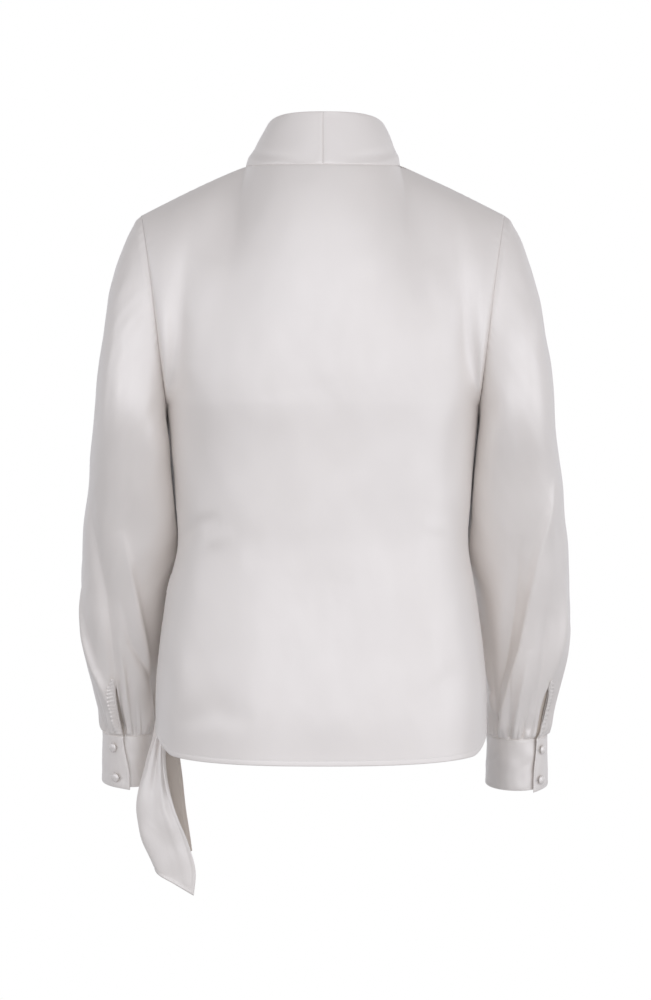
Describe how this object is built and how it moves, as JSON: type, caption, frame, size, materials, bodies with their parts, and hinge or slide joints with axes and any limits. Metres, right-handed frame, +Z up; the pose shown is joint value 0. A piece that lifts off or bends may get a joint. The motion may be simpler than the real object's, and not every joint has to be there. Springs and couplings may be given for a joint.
{
  "type": "satin blouse",
  "caption": "Ivory satin wrap blouse filled out as worn, with a high collar, bishop sleeves gathered into buttoned cuffs, and a sash tied at the left side.",
  "frame": {"origin": "centre of the neck at the height of the back neck seam, where the wearer's neck and shoulders hold the blouse up", "axes": "+Z up the body, -Y the way the wearer faces, +X the wearer's left"},
  "size_m": [0.5206, 0.2686, 0.8287],
  "materials": {
    "ivory_satin": "ivory silk satin, smooth and softly shiny",
    "covered_button": "domed button covered in the same satin"
  },
  "bodies": {
    "root": {"back": "ivory_satin", "front_left": "ivory_satin", "front_right": "ivory_satin", "collar_left": "ivory_satin", "collar_right": "ivory_satin", "sleeve_left": "ivory_satin", "sleeve_right": "ivory_satin", "placket_left": "ivory_satin", "placket_right": "ivory_satin", "cuff_left": "ivory_satin", "cuff_right": "ivory_satin", "button_left_1": "covered_button", "button_left_2": "covered_button", "button_right_1": "covered_button", "button_right_2": "covered_button", "tie_strap": "ivory_satin", "tie_knot": "ivory_satin", "tie_end_long": "ivory_satin", "tie_end_short": "ivory_satin"}
  },
  "joints": []
}
